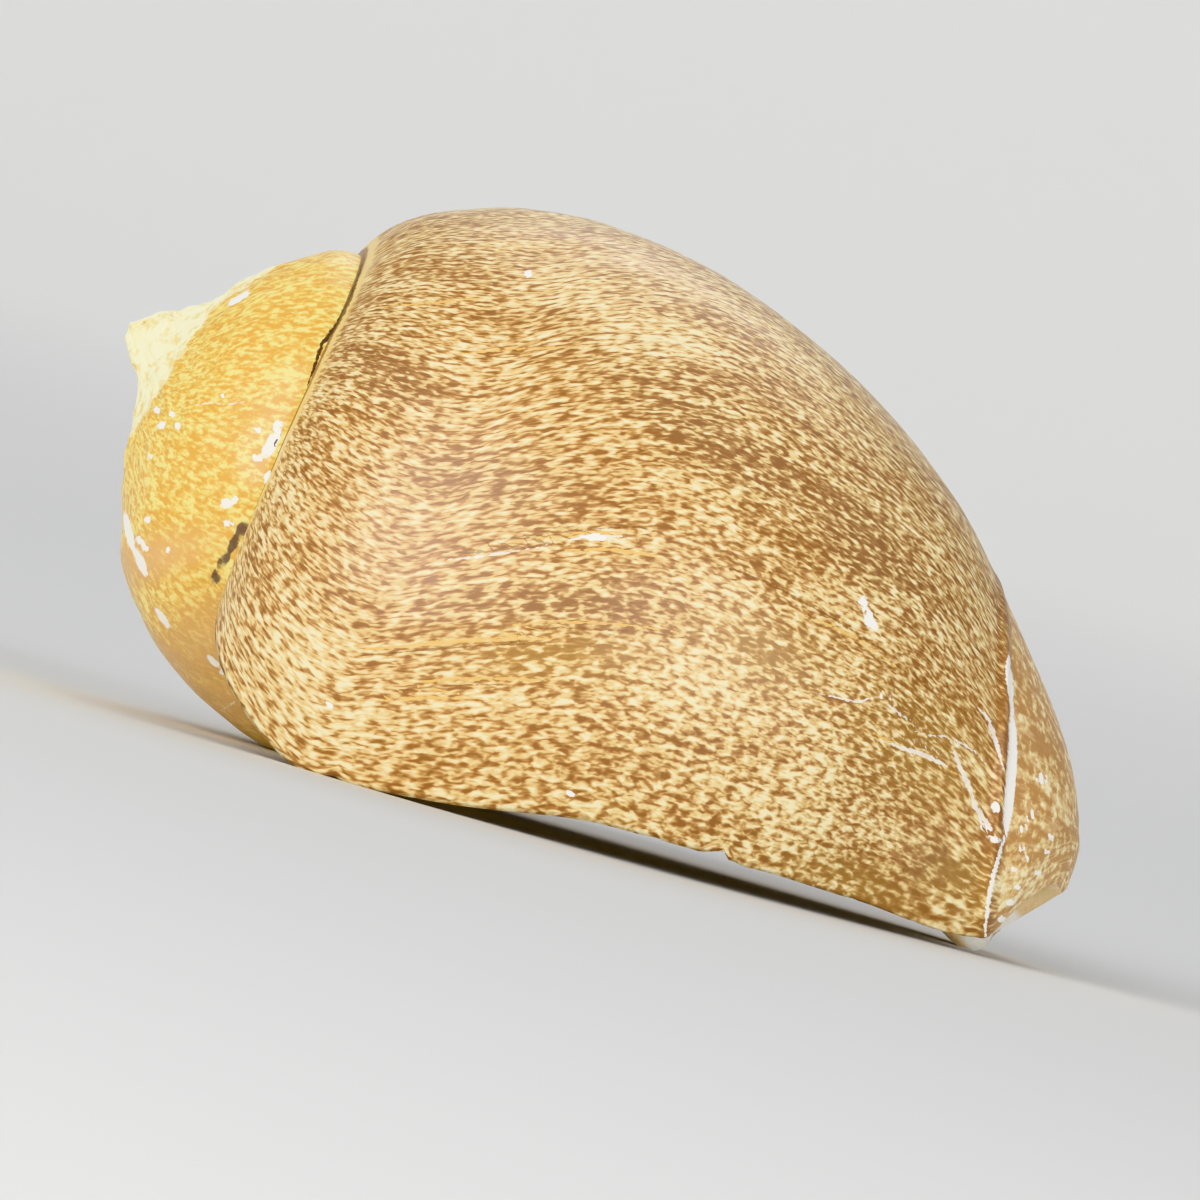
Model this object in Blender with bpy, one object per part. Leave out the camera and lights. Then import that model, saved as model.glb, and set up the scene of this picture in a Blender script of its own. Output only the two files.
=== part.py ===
"""The shell of the sea snail Pseudoliva crassa, lying on its mouth. Blender 4.5, metres, +Z up.

The shell is one grown piece, so it is one solid. Its skin is a scroll: a cross-section turns
round the coiling axis and grows by the same ratio each turn. The skin runs from the apex, over
the callused spire and the body whorl, to the outer lip. There it turns in, and the mouth's
outline, shrinking back along the scroll, makes the hollow of the last whorl.

Lengths are millimetres in the shell's own frame: the coiling axis is +X with the apex at the
origin, and an angle round the axis is 0 towards the ground and 90 degrees towards -Y. Growth is
counted in turns back from the outer lip: 0 at the lip, -1 one whorl before it.
"""

import math

import bpy
import numpy as np

MM = 0.001

# The scroll
WHORL_RATIO = 1.85          # how much every size grows in one turn
LIP_ANGLE = 50.4            # degrees round the axis, where the lip's shoulder ends
SPIRE_TURNS = 4             # whorls modelled, counted back from the lip

# Two cross-sections, as (axial place, radius) pairs from the suture to the front end. Point for
# point they are the same spots on the whorl: half a turn apart, on the back and on the belly.
BACK_TURN = -0.36
BACK = (
    (7.4, 8.9), (7.65, 10.2), (8.5, 11.8), (10.0, 13.4), (12.8, 15.35), (17.1, 16.95), (23.0, 17.7),
    (30.0, 17.05), (37.0, 15.0), (42.8, 11.6), (48.5, 7.6), (51.2, 4.3), (51.9, 2.2),
)
BELLY_TURN = -0.86
BELLY = (
    (5.4, 8.5), (5.7, 8.85), (6.3, 9.5), (7.4, 10.4), (9.5, 11.65), (12.8, 12.55), (17.0, 12.6),
    (23.0, 10.5), (31.0, 6.1), (39.0, 3.3), (46.0, 2.5), (49.3, 3.0), (50.2, 2.2),
)
BELLY_EASE = (-0.56, -0.82)  # turns over which the back's section becomes the belly's
NEXT_SUTURE = 13.7          # axial place on the back's section where the next whorl joins on
SUTURE_DROP = 1.9           # how much further along the section it joins on at the lip
DROP_TURNS = 0.3            # turns behind the lip over which it drops
WELD_SHARE = 0.7            # how far towards the next suture the skin follows the one it joins

# The front end keeps its place while the rest grows: axial places on the back's section
HOLD_EASE = (13.7, 50.0)

# The worn apex under the callus: radius at axial places, and a cone beyond the last
APEX_WEAR = (
    (0.0, 0.55), (0.5, 0.95), (1.2, 1.43), (2.0, 2.3), (2.75, 3.7), (3.1, 4.7), (3.9, 6.2),
)
SPIRE_SLOPE = 1.59          # radius for each millimetre of axis on the callused cone
OPEN_EASE = (-1.85, -1.6)   # turns over which the callus stops hiding the suture
APEX_LEAN = 0.7             # how far the nipple stands off the axis
APEX_LEAN_EASE = (3.0, 1.2)

# The front end is cut on a slant, lower on the belly than on the back
FRONT_DROP = 1.9
FRONT_EASE = (49.5, 51.9)

# The lip's edge: axial place on the back's section, degrees back from LIP_ANGLE
LIP_EDGE = (
    (7.4, 0.0), (13.7, 0.0), (16.2, 3.6), (19.8, 9.3), (26.0, 17.0), (31.0, 20.0), (37.0, 21.7),
    (43.0, 21.6), (49.5, 22.0), (50.9, 42.0), (51.6, 76.0), (51.9, 98.0),
)
# The mouth's inner edge on the columella, in the same terms
COLUMELLA_EDGE = (
    (7.3, 0.0), (13.7, 0.0), (16.2, 3.0), (19.8, 10.0), (26.0, 19.0), (34.0, 20.0), (43.0, -20.0),
    (51.9, -50.0),
)

# The ridge that borders the band of old front notches: growth turn, axial place on the back
RIDGE_PATH = (
    (-1.0, 32.0), (-0.6, 36.5), (-0.33, 41.7), (-0.16, 46.3), (-0.06, 48.6), (0.0, 49.9),
)
RIDGE_HEIGHT = 0.4
RIDGE_REACH = 0.9           # from the crest to its foot
RIDGE_EASE = (-0.8, -0.5)   # turns over which it rises

# The columella's tip, where the skin closes at the front
TIP = (50.1, -0.4, -1.5)

# The wall and the hollow
LIP_THICK = 1.3
GLAZE_THICK = 0.3
CORNER_REACH = 9.0          # how far from its two corners the inner outline is rounded
CORNER_PASSES = 14
HOLLOW_TURNS = 0.72
HOLLOW_END = 0.03           # turns over which the hollow closes

# Mesh density
COLUMNS = 60                # in one turn
SPIRE_ROWS = 5
BODY_ROWS = 22              # from the suture to the ridge
RIDGE_ROWS = 3              # on the ridge, between its two feet
BAND_ROWS = 5               # from the ridge to the front end
FRONT_CROWD = 1.5           # how the band's rows crowd towards the front end
HOLLOW_STATIONS = 18
NORMAL_STEP = 0.01          # in turns and in millimetres, to find the way out of the skin

# How the shell lies
REST_TILT = 16.9            # degrees that the coiling axis falls towards the front end
REST_ROLL = 1.1             # degrees round its length, towards the lip
REST_WEAR = 0.2             # how far the resting spots are worn flat

SHELL_COLOUR = (0.53, 0.34, 0.14)
SHELL_ROUGHNESS = 0.45


def ease(low, high, value):
    """0 before low and 1 past high, with a smooth step between. low may be above high."""
    share = np.clip((np.asarray(value, float) - low) / (high - low), 0.0, 1.0)
    return share * share * (3.0 - 2.0 * share)


def through(points, count_between=24):
    """A dense smooth line through the given points, by Catmull-Rom."""
    p = np.array(points, float)
    p = np.vstack([2 * p[0] - p[1], p, 2 * p[-1] - p[-2]])
    s = np.linspace(0.0, 1.0, count_between, endpoint=False)[:, None]
    line = []
    for a, b, c, d in zip(p, p[1:], p[2:], p[3:]):
        bend = 2 * a - 5 * b + 4 * c - d
        twist = 3 * b - a - 3 * c + d
        line.append(b + 0.5 * ((c - a) * s + bend * s**2 + twist * s**3))
    return np.vstack(line + [p[-2:-1]])


def run_along(line):
    """The length run along a line at each of its points."""
    steps = np.linalg.norm(np.diff(line, axis=0), axis=1)
    return np.concatenate([[0.0], np.cumsum(steps)])


BACK_LINE = through(BACK)
BELLY_LINE = through(BELLY)
BACK_RUN = run_along(BACK_LINE)
SUTURE_RUN = float(np.interp(NEXT_SUTURE, BACK_LINE[:, 0], BACK_RUN))
LIP_LINE = through(LIP_EDGE)
COLUMELLA_LINE = through(COLUMELLA_EDGE)
RIDGE_LINE = through(RIDGE_PATH)


def on_line(run, line):
    """Axial place and radius on one of the two sections, at a length run along the back's."""
    return np.interp(run, BACK_RUN, line[:, 0]), np.interp(run, BACK_RUN, line[:, 1])


def growth(turn, hold):
    return WHORL_RATIO ** (turn * (1.0 - hold))


def scroll_angle(turn):
    return np.radians(LIP_ANGLE - 360.0 * turn)


def section(turn, run):
    """Axial place and radius of the bare scroll at a turn."""
    back_z, back_r = on_line(run, BACK_LINE)
    belly_z, belly_r = on_line(run, BELLY_LINE)
    below = 0.5 + 0.5 * np.cos(scroll_angle(turn))
    hold = ease(*HOLD_EASE, back_z)
    back_size = growth(turn - BACK_TURN, hold)
    belly_size = growth(turn - BELLY_TURN, hold)
    belly = ease(*BELLY_EASE, turn)
    back_end = FRONT_DROP * below * ease(*FRONT_EASE, back_z)
    z = (back_z * back_size - back_end) * (1.0 - belly) + belly_z * belly_size * belly
    r = back_r * back_size * (1.0 - belly) + belly_r * belly_size * belly
    # the first whorl rises from the apex, and the callus makes one cone of the early whorls
    z = z * np.clip(turn + SPIRE_TURNS, 0.0, 1.0)
    wear_z, wear_r = np.array(APEX_WEAR).T
    cone = np.where(z < wear_z[-1], np.interp(z, wear_z, wear_r), SPIRE_SLOPE * z)
    hidden = 1.0 - ease(*OPEN_EASE, turn)
    r = r + (cone - r) * hidden
    return z, r


def ridge_run(turn):
    """Where the ridge runs, as a length along the back's section, at a growth turn."""
    place = np.interp(turn, RIDGE_LINE[:, 0], RIDGE_LINE[:, 1])
    return np.interp(place, BACK_LINE[:, 0], BACK_RUN)


def lean(turn, run):
    """The scroll's turn on a growth line, which leans back as the mouth's edges do."""
    place = on_line(run, BACK_LINE)[0]
    lip = np.interp(place, LIP_LINE[:, 0], LIP_LINE[:, 1]) / 360.0
    columella = np.interp(place, COLUMELLA_LINE[:, 0], COLUMELLA_LINE[:, 1]) / 360.0
    share = np.clip(-turn, 0.0, 1.0)
    return turn - (1.0 - share) * lip - share * columella


def skin(turn, run):
    """A point of the skin, at a growth turn and a length along the back's section."""
    scroll = lean(turn, run)
    z, r = section(scroll, run)
    off_crest = (run - ridge_run(turn)) / RIDGE_REACH
    r = r + RIDGE_HEIGHT * ease(1.0, 0.0, np.abs(off_crest)) * ease(*RIDGE_EASE, turn)
    angle = scroll_angle(scroll)
    up = APEX_LEAN * ease(*APEX_LEAN_EASE, z)
    return np.stack(np.broadcast_arrays(z, -r * np.sin(angle), up - r * np.cos(angle)), -1)


def row_runs(turn):
    """The rows' lengths along the section at a growth turn: suture, ridge, front end."""
    crest = float(ridge_run(turn))
    suture = SUTURE_RUN + SUTURE_DROP * max(0.0, 1.0 - abs(turn + 1.0) / DROP_TURNS) ** 2
    spire = np.linspace(0.0, suture, SPIRE_ROWS + 1)
    body = np.linspace(suture, crest - RIDGE_REACH, BODY_ROWS + 1)[1:]
    left = np.linspace(1.0, 0.0, BAND_ROWS + 1) ** FRONT_CROWD
    band = BACK_RUN[-1] - (BACK_RUN[-1] - crest - RIDGE_REACH) * left
    ridge = crest + RIDGE_REACH * np.linspace(-1.0, 1.0, RIDGE_ROWS + 2)[1:-1]
    return np.concatenate([spire, body, ridge, band])


def skin_grid():
    """The skin's points, by column of growth and row of the section."""
    columns = np.arange(-SPIRE_TURNS * COLUMNS, 1)
    grid = []
    for k, column in enumerate(columns):
        turn = column / COLUMNS
        runs = row_runs(turn)
        points = skin(turn, runs)
        if k >= COLUMNS:
            # the first row is the suture: it lies on the whorl before, and its neighbours follow
            gap = grid[k - COLUMNS][SPIRE_ROWS] - points[0]
            points = points + ease(WELD_SHARE * SUTURE_RUN, 0.0, runs)[:, None] * gap
        grid.append(points)
    return columns, np.array(grid)


def carried_back(outline, turn):
    """The mouth's outline carried back along the scroll."""
    x, y, z = (outline * WHORL_RATIO**turn).T
    y, z = turned(y, z, -360.0 * turn)
    return np.stack([x, y, z], -1)


def skin_normal(turn, runs):
    """The way out of the shell at the given points of a growth line."""
    along = skin(turn, runs + NORMAL_STEP) - skin(turn, runs - NORMAL_STEP)
    onward = skin(turn + NORMAL_STEP, runs) - skin(turn - NORMAL_STEP, runs)
    out = np.cross(onward, along)
    return out / np.linalg.norm(out, axis=1)[:, None]


def softened(outline):
    for _ in range(CORNER_PASSES):
        outline = (np.roll(outline, 1, 0) + 2.0 * outline + np.roll(outline, -1, 0)) / 4.0
    return outline


def rounded(outline):
    """A closed outline with its corners, at the suture and at the tip, drawn in."""
    soft = softened(outline)
    corners = (outline[0], TIP)
    near = np.min([np.linalg.norm(outline - corner, axis=1) for corner in corners], axis=0)
    return outline + (soft - outline) * ease(CORNER_REACH, 0.0, near)[:, None]


class Skin:
    """Points and faces as they are added."""

    def __init__(self):
        self.points = []
        self.faces = []

    def add(self, point):
        self.points.append(point)
        return len(self.points) - 1

    def face(self, *corners):
        """A face, without the corners that fall together."""
        kept = [c for c, after in zip(corners, corners[1:] + corners[:1]) if c != after]
        if len(kept) > 2:
            self.faces.append(kept)

    def zip_shut(self, ring):
        """Triangles across a long closed ring, between its outer and its inner side."""
        low, high = 0, len(ring) - 1
        while high - low > 1:
            a, b, c, d = (self.points[ring[i]] for i in (low, low + 1, high - 1, high))
            if np.linalg.norm(b - d) < np.linalg.norm(a - c):
                self.face(ring[low], ring[high], ring[low + 1])
                low += 1
            else:
                self.face(ring[low], ring[high], ring[high - 1])
                high -= 1

    def bridge(self, ring, inner):
        """Quads between two closed rings with the same count."""
        for i, j in zip(range(-1, len(ring) - 1), range(len(ring))):
            self.face(ring[i], inner[i], inner[j], ring[j])


def outer_skin(shell):
    """The scroll's outside. Returns the mouth's edge, from the suture round by the lip."""
    columns, grid = skin_grid()
    first = columns[0]
    last_row = grid.shape[1] - 1
    apex = shell.add(np.array([0.0, 0.0, APEX_LEAN]))
    start = shell.add(grid[0][SPIRE_ROWS])
    index = {}
    for column, points in zip(columns, grid):
        for row in range(SPIRE_ROWS + 1 if column < -COLUMNS else last_row + 1):
            if row == 0:
                index[column, row] = index.get((column - COLUMNS, SPIRE_ROWS), apex)
            elif column == first:
                index[column, row] = start
            else:
                index[column, row] = shell.add(points[row])
    for column in columns[:-1]:
        for row in range(SPIRE_ROWS if column < -COLUMNS else last_row):
            shell.face(index[column, row], index[column + 1, row],
                       index[column + 1, row + 1], index[column, row + 1])
    tip = shell.add(np.array(TIP))
    for column in range(-COLUMNS, 0):
        shell.face(index[column + 1, last_row], tip, index[column, last_row])
    lip = [index[0, row] for row in range(last_row + 1)]
    columella = [index[-COLUMNS, row] for row in range(last_row, SPIRE_ROWS, -1)]
    return lip + [tip] + columella


def hollow(shell, edge):
    """The inside of the last whorl, from the mouth's edge back to a closed end."""
    outline = np.array([shell.points[i] for i in edge])
    lip_runs = row_runs(0.0)
    columella_runs = row_runs(-1.0)[:SPIRE_ROWS:-1]
    inward = np.vstack([
        -LIP_THICK * skin_normal(0.0, lip_runs),
        np.zeros((1, 3)),
        GLAZE_THICK * skin_normal(-1.0, columella_runs),
    ])
    inner = rounded(outline + inward)
    rings = [carried_back(inner, turn) for turn in np.linspace(0.0, -HOLLOW_TURNS, HOLLOW_STATIONS)]
    rings.append(softened(carried_back(inner, -HOLLOW_TURNS - HOLLOW_END)))
    ring = edge
    for points in rings:
        deeper = [shell.add(point) for point in points]
        shell.bridge(ring, deeper)
        ring = deeper
    shell.zip_shut(ring)


def turned(across, up, degrees):
    """Two coordinates turned, so that what stands up leans towards the first one."""
    angle = math.radians(degrees)
    c, s = math.cos(angle), math.sin(angle)
    return across * c + up * s, up * c - across * s


def laid_down(points):
    """The shell's own frame turned so that it lies on its mouth, centred over the origin."""
    x, y, z = points.T
    x, z = turned(x, z, REST_TILT)
    y, z = turned(y, z, REST_ROLL)
    laid = np.stack([x, y, z], -1)
    laid[:, 2] -= laid[:, 2].min() + REST_WEAR
    laid[:, 2] = np.maximum(laid[:, 2], 0.0)
    laid[:, :2] -= (laid[:, :2].min(0) + laid[:, :2].max(0)) / 2
    return laid


def build_shell():
    shell = Skin()
    hollow(shell, outer_skin(shell))
    return np.array(shell.points), shell.faces


def shell_material():
    material = bpy.data.materials.new("shell")
    material.use_nodes = True
    principled = material.node_tree.nodes["Principled BSDF"]
    principled.inputs["Base Color"].default_value = (*SHELL_COLOUR, 1.0)
    principled.inputs["Roughness"].default_value = SHELL_ROUGHNESS
    principled.inputs["Metallic"].default_value = 0.0
    return material


def main():
    for obj in list(bpy.data.objects):
        bpy.data.objects.remove(obj)
    points, faces = build_shell()
    mesh = bpy.data.meshes.new("shell")
    mesh.from_pydata((laid_down(points) * MM).tolist(), [], faces)
    mesh.materials.append(shell_material())
    mesh.shade_smooth()
    shell = bpy.data.objects.new("shell", mesh)
    bpy.context.scene.collection.objects.link(shell)


main()
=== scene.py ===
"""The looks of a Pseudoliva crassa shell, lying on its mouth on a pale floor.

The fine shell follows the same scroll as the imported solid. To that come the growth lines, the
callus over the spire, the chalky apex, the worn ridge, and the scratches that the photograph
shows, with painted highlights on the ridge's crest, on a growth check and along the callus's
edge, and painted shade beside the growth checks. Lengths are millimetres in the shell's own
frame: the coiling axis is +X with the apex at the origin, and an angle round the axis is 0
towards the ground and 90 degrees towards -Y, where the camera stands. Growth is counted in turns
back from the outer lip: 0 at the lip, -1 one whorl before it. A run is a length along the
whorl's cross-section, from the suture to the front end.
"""

import math

import bpy
import numpy as np
from mathutils import Matrix, Vector, noise


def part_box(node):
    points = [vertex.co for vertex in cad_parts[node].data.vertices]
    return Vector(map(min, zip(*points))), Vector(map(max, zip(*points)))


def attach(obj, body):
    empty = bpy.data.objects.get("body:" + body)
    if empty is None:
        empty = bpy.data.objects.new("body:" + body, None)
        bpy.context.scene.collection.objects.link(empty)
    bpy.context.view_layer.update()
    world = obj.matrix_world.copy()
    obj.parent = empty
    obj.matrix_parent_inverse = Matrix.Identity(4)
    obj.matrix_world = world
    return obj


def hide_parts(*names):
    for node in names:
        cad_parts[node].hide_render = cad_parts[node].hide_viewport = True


MM = 0.001  # a millimetre in metres

# The scroll
WHORL_RATIO = 1.85  # how much every size grows in one turn
LIP_ANGLE = 50.4  # degrees round the axis, where the lip's shoulder ends
SPIRE_TURNS = 4  # whorls modelled, counted back from the lip

# Two cross-sections, as (axial place, radius) pairs from the suture to the front end. Point for
# point they are the same spots on the whorl: half a turn apart, on the back and on the belly.
BACK_TURN = -0.36
BACK = (
    (7.4, 8.9), (7.65, 10.2), (8.5, 11.8), (10.0, 13.4), (12.8, 15.35), (17.1, 16.95), (23.0, 17.7),
    (30.0, 17.05), (37.0, 15.0), (42.8, 11.6), (48.5, 7.6), (51.2, 4.3), (51.9, 2.2),
)
BELLY_TURN = -0.86
BELLY = (
    (5.4, 8.5), (5.7, 8.85), (6.3, 9.5), (7.4, 10.4), (9.5, 11.65), (12.8, 12.55), (17.0, 12.6),
    (23.0, 10.5), (31.0, 6.1), (39.0, 3.3), (46.0, 2.5), (49.3, 3.0), (50.2, 2.2),
)
BELLY_EASE = (-0.56, -0.82)  # turns over which the back's section becomes the belly's
NEXT_SUTURE = 13.7  # axial place on the back's section where the next whorl joins on
SUTURE_DROP = 1.9  # how much further along the section it joins on at the lip
DROP_TURNS = 0.3  # turns behind the lip over which it drops
WELD_SHARE = 0.7  # how far towards the next suture the skin follows the one it joins
HOLD_EASE = (13.7, 50.0)  # axial places past which the front end keeps its place

# The worn apex under the callus: radius at axial places, and a cone beyond the last
APEX_WEAR = (
    (0.0, 0.0), (0.03, 0.35), (0.15, 0.66), (0.47, 0.95), (0.86, 1.12), (1.32, 1.42), (1.65, 1.7),
    (2.0, 2.1), (2.3, 2.55), (2.6, 3.15), (2.85, 3.85), (3.2, 4.85), (3.9, 6.2),
)
SPIRE_SLOPE = 1.59  # radius for each millimetre of axis on the callused cone
OPEN_EASE = (-1.85, -1.6)  # turns over which the callus stops hiding the suture
APEX_LEAN = 0.7  # how far the apex's tip stands off the axis
APEX_LEAN_EASE = (3.0, 1.2)  # axial places between which it comes to that

# The front end is cut on a slant, lower on the belly than on the back
FRONT_DROP = 1.9
FRONT_EASE = (49.5, 51.9)  # axial places between which it is

# The lip's edge: axial place on the back's section, degrees back from LIP_ANGLE
LIP_EDGE = (
    (7.4, 0.0), (13.7, 0.0), (16.2, 3.6), (19.8, 9.3), (26.0, 17.0), (31.0, 20.0), (37.0, 21.7),
    (43.0, 21.6), (49.5, 22.0), (50.9, 42.0), (51.6, 76.0), (51.9, 98.0),
)
# The mouth's inner edge on the columella, in the same terms
COLUMELLA_EDGE = (
    (7.3, 0.0), (13.7, 0.0), (16.2, 3.0), (19.8, 10.0), (26.0, 19.0), (34.0, 20.0), (43.0, -20.0),
    (51.9, -50.0),
)
# How much further back the growth lines on the older shell lean: axial place, degrees
LINE_LEAN = (
    (7.4, 0.0), (10.5, 0.0), (13.0, 1.5), (17.0, 7.5), (21.0, 11.5), (24.0, 12.8), (28.0, 13.2),
    (34.0, 16.5), (40.0, 23.0), (46.0, 28.0), (51.9, 28.0),
)
LINE_EASE = 45.0  # degrees behind the lip over which that comes
BAND_SWEEP = 2.0  # degrees back for each millimetre beyond the ridge
BAND_START = 1.2  # millimetres past the ridge's crest where the sweep begins

# The ridge that borders the band of old front notches: growth turn, axial place on the back
RIDGE_PATH = (
    (-1.0, 32.0), (-0.6, 36.0), (-0.33, 41.0), (-0.265, 42.5), (-0.235, 43.5), (-0.155, 46.4),
    (-0.096, 48.1), (-0.02, 49.5), (0.0, 49.9),
)
RIDGE_HEIGHT = 0.4
RIDGE_REACH = 0.9  # from the crest to its foot
RIDGE_EASE = (-0.42, -0.1)  # turns over which it rises

# The columella's tip, where the skin closes at the front
TIP = (50.1, -0.4, -1.5)

# The wall and the hollow
LIP_THICK = 1.3
LIP_BEVEL = 0.9  # how far behind the edge the wall is fully thick
GLAZE_THICK = 0.3  # the enamel over the columella
HOLLOW_TURNS = 0.72  # how far back the whorl is hollow
HOLLOW_END = 0.03  # turns over which the hollow closes
CORNER_REACH = 9.0  # how far from its two corners the inner outline is rounded
CORNER_PASSES = 350

# Mesh density
COLUMNS = 400  # in one turn
SPIRE_ROWS = 20
BODY_ROWS = 92  # from the suture to the ridge
RIDGE_ROWS = 7  # on the ridge, between its two feet
BAND_ROWS = 22  # from the ridge to the front end
FRONT_CROWD = 1.3  # how the band's rows crowd towards the front end
NOTCH_CROWD = 2.0  # how much closer the body's rows stand by the lip's notch
NOTCH_PLACE = 0.558  # where that is, as a share of the body's rows
NOTCH_SPREAD = 0.05
RIM_RINGS = 5  # over the lip's thickness
HOLLOW_STATIONS = 30  # along the hollow
SHARE_STEPS = 1000  # steps in which the body rows' crowding is summed
TINY = 1e-9  # keeps a division from failing
NORMAL_STEP = 0.01  # in turns and in millimetres, to find the way out of the skin

# How the shell lies
REST_TILT = 16.9  # degrees that the coiling axis falls towards the front end
REST_ROLL = 1.1  # degrees round its length, towards the lip
REST_WEAR = 0.2  # how far the resting spots are worn flat

# The lip's notch and chips: run, how deep in millimetres, reach before and after it. Where the
# depth is below 0, the lip stands out.
LIP_FLAWS = (
    (31.1, 0.33, 1.5, 0.45), (32.4, -0.10, 0.5, 2.6), (12.3, 0.20, 0.35, 0.35),
    (26.9, 0.08, 0.5, 0.8), (40.2, 0.07, 0.7, 0.4), (44.6, 0.06, 0.4, 0.6),
)
LIP_FLAW_TURNS = 0.012  # how far behind the lip they are felt

# The kinds of surface, in the order of the shell's material slots
BODY, CALLUS_KIND, ENAMEL_KIND = range(3)
# The callus ends on the belly at this turn, and wanders by this much every so many millimetres
PARIETAL_TURN = -0.79
PARIETAL_WANDER = 0.015
PARIETAL_WAVE = 2.5

# Growth relief: millimetres between swellings, and their height
SWELLS = ((2.6, 0.035), (1.1, 0.022), (0.62, 0.012))
SWELL_BEND = 7.0  # millimetres of run over which a swelling changes
BODY_EASE = (-1.0, -0.9)  # turns over which the body whorl's relief sets in
EDGE_EASE = (0.0, 1.5)  # millimetres from the suture over which it does
CALLUS_EASE = (-1.0, -1.03)  # turns over which the callus's relief does
RANDOM_TABLE = np.random.default_rng(7).uniform(-1.0, 1.0, (256, 256))

# The callus: bumps on the chalky apex, and its swollen top beside the suture
APEX_BUMPS = ((1.1, 0.20), (0.45, 0.10))  # size and height
APEX_BUMP_EASE = (5.2, 2.2)  # axial places between which they reach that height
CALLUS_WAVE = (2.4, 0.05)  # length and height of its waves
CALLUS_SWELL = 0.58
CALLUS_SWELL_TURN = (-1.36, 0.16)  # the swelling's middle, and how far it reaches
CALLUS_SWELL_PLACE = (6.9, 2.6)  # the same along the axis

# The photograph, whose camera looks along +Y: the apex's pixel, the real size of a pixel in
# millimetres, and how far the coiling axis dips to the right
PHOTO_PIXELS = 1200
PIXEL_SIZE = 0.0475
APEX_PIXEL = (124.0, 335.0)
AXIS_DIP = 32.82
CAMERA_DISTANCE = 1.2  # metres
CAMERA_CLIP = 20.0  # metres, beyond the paper's far end
SENSOR = 36.0  # millimetres
FACING = 0.08  # how squarely skin faces the camera for the photograph to show it
LINE_REACH = 7.0  # pixels from a line over which the skin knows its half-width
LINE_SPAN = 1.5  # half-widths over which it does, beside a wide line
LINE_FADE = 1.0  # pixels over which it forgets it

# Marks seen in the photograph, in its pixels: (width, points). Light scratches in the varnish, and one
# painted highlight along a growth check.
WHITE_LINES = (
    (3.0, ((432, 561), (470, 559), (510, 553), (548, 547))),
    # a painted highlight: a glint along the growth check, painted white
    (3.0, ((560, 543), (585, 538), (620, 537), (640, 541))),
    (3.0, ((814, 692), (837, 697), (856, 701), (867, 697), (879, 695), (883, 690))),
    (3.0, ((876, 694), (886, 704), (898, 714), (912, 722))),
    (5.5, ((884, 741), (906, 749), (921, 753), (936, 761), (948, 767))),
    (3.0, ((906, 728), (925, 734), (944, 735), (959, 742), (974, 752), (987, 768))),
    (6.0, ((949, 741), (953, 756), (963, 779), (973, 806), (982, 818), (995, 838))),
    (5.0, ((973, 705), (986, 718), (994, 745), (1002, 772))),
    (3.0, ((965, 788), (975, 805), (978, 822), (990, 830))),
    (2.0, ((219, 712), (229, 706), (241, 698))),
    (2.0, ((192, 407), (212, 404), (230, 406), (250, 403))),
)
# The ridge's crest, painted white: partly wear, partly a painted highlight along it
CREST_LINES = (
    (7.0, ((1007, 652), (1006, 668), (1008, 684), (1010, 712))),
    (10.5, ((1009, 704), (1011, 738), (1010, 768), (1007, 796), (1004, 822), (1000, 846))),
    (5.0, ((1003, 828), (997, 852), (991, 874), (986, 900), (983, 926), (984, 944))),
)
# Open cracks
DARK_LINES = (
    (4.5, ((366, 255), (358, 281), (352, 300), (339, 326), (324, 346), (318, 365), (308, 392))),
    (1.8, ((287, 428), (283, 437), (277, 445), (279, 452))),
)
# Growth checks, where the lip once rested, stand out golden
GOLD_LINES = (
    (3.0, ((480, 548), (530, 542), (580, 534), (640, 532), (662, 541))),
    (3.5, ((560, 551), (610, 550), (650, 556), (676, 566))),
    (4.5, ((350, 650), (400, 646), (450, 641), (510, 638), (568, 637))),
    (3.0, ((496, 626), (540, 622), (590, 622), (640, 626), (690, 634))),
    (3.5, ((390, 684), (450, 678), (500, 677), (560, 680))),
    (3.0, ((370, 700), (430, 696), (500, 697))),
    (3.0, ((780, 606), (830, 626), (860, 642), (905, 674))),
    (2.5, ((850, 722), (900, 746), (940, 764), (965, 780))),
    (3.0, ((380, 310), (430, 306), (500, 300))),
    (2.5, ((450, 358), (520, 352), (600, 350))),
)
# Painted shade along their shaded sides
PAINTED_SHADE_LINES = (
    (3.5, ((432, 554), (480, 553), (530, 548), (575, 544), (590, 545))),
    (3.0, ((470, 544), (530, 537), (590, 530), (640, 528), (670, 538))),
    (3.0, ((360, 655), (420, 650), (480, 645), (560, 642))),
    (2.5, ((500, 631), (560, 627), (640, 631), (700, 640))),
    (2.5, ((390, 690), (450, 684), (520, 683))),
    (3.0, ((700, 560), (760, 580), (830, 618), (900, 662))),
)
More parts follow.
